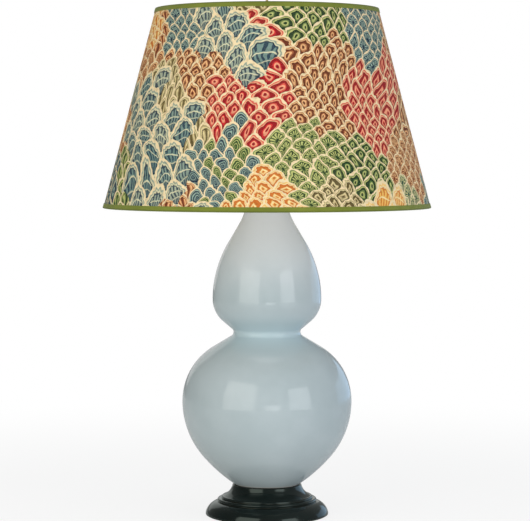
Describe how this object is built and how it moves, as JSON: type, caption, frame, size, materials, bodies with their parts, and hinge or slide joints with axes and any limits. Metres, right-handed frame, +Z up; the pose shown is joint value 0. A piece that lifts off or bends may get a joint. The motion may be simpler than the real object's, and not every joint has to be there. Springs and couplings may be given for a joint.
{
  "type": "table lamp",
  "caption": "Double gourd ceramic table lamp on a moulded metal foot, with a harp and a printed cone shade.",
  "frame": {"origin": "middle of the underside of the felt pad, on the surface that the lamp stands on", "axes": "+Z up; -Y is the front, where the switch points; the harp lies in the XZ plane; +Y is the back, where the cord leaves"},
  "size_m": [0.4815, 0.4816, 0.7584],
  "materials": {
    "felt": "dense green-black felt",
    "bronze": "cast, dark oil-rubbed patina, satin",
    "glaze": "glossy pale blue-grey glaze on stoneware",
    "antique_brass": "brushed and lacquered",
    "yellow_brass": "stamped, bright",
    "zinc_steel": "zinc plated",
    "nickel": "rolled screw cap",
    "white_wire": "white powder coat",
    "gasket_rubber": "matt black",
    "black_plastic": "moulded phenolic",
    "liner_card": "fibre card",
    "stem_steel": "plated",
    "bulb_glass": "frosted glass",
    "shade_print": "woven linen with a printed pattern in cream, green, teal, red, brown and gold",
    "shade_backing": "laminated off-white backing",
    "green_tape": "ribbed olive green tape"
  },
  "bodies": {
    "base": {"felt_pad": "felt", "foot": "bronze", "cord_bushing": "black_plastic", "clamp_plate": "zinc_steel", "lock_washer": "zinc_steel", "bottom_nut": "zinc_steel", "threaded_pipe": "zinc_steel", "seat_gasket": "gasket_rubber", "gourd_body": "glaze", "gourd_shoulder": "glaze", "gourd_top": "glaze", "neck_gasket": "gasket_rubber", "neck_cap": "antique_brass", "neck_column": "antique_brass", "neck_nut": "zinc_steel", "harp_saddle": "antique_brass", "holder_cap": "antique_brass", "cap_set_screw": "zinc_steel", "holder_shell": "antique_brass", "holder_liner": "liner_card", "holder_core": "black_plastic", "terminal_screws": "zinc_steel", "screw_shell": "yellow_brass", "centre_contact": "yellow_brass"},
    "bulb": {"bulb_glass": "bulb_glass", "bulb_cap": "nickel", "bulb_insulator": "black_plastic", "bulb_contact": "yellow_brass"},
    "switch": {"switch_stem": "stem_steel", "switch_knob": "black_plastic"},
    "harp": {"harp": "antique_brass"},
    "right_sleeve": {"right_sleeve": "antique_brass"},
    "left_sleeve": {"left_sleeve": "antique_brass"},
    "stud": {"harp_stud": "antique_brass"},
    "shade": {"top_frame": "antique_brass", "bottom_ring": "white_wire", "shade_fabric": "shade_print", "shade_backing": "shade_backing", "top_trim": "green_tape", "bottom_trim": "green_tape"},
    "finial": {"finial_foot": "antique_brass", "finial_knob": "antique_brass"}
  },
  "joints": [
    {"name": "bulb_turn", "type": "hinge", "parent": "base", "child": "bulb", "pos_m": [0, 0, 0.55], "axis": [0, 0, 1], "continuous": true},
    {"name": "switch_turn", "type": "hinge", "parent": "base", "child": "switch", "pos_m": [0, -0.02, 0.5315], "axis": [0, -1, 0], "continuous": true},
    {"name": "harp_lift", "type": "slide", "parent": "base", "child": "harp", "axis": [0, 0, 1], "range_m": [0, 0.014]},
    {"name": "right_sleeve_lift", "type": "slide", "parent": "harp", "child": "right_sleeve", "axis": [0, 0, 1], "range_m": [0, 0.014]},
    {"name": "left_sleeve_lift", "type": "slide", "parent": "harp", "child": "left_sleeve", "axis": [0, 0, 1], "range_m": [0, 0.014]},
    {"name": "shade_swivel", "type": "hinge", "parent": "harp", "child": "stud", "pos_m": [0, 0, 0.73], "axis": [0, 0, 1], "continuous": true},
    {"name": "shade_lift", "type": "slide", "parent": "stud", "child": "shade", "axis": [0, 0, 1], "range_m": [0, 0.3]},
    {"name": "finial_turn", "type": "hinge", "parent": "shade", "child": "finial", "pos_m": [0, 0, 0.74], "axis": [0, 0, 1], "continuous": true}
  ]
}
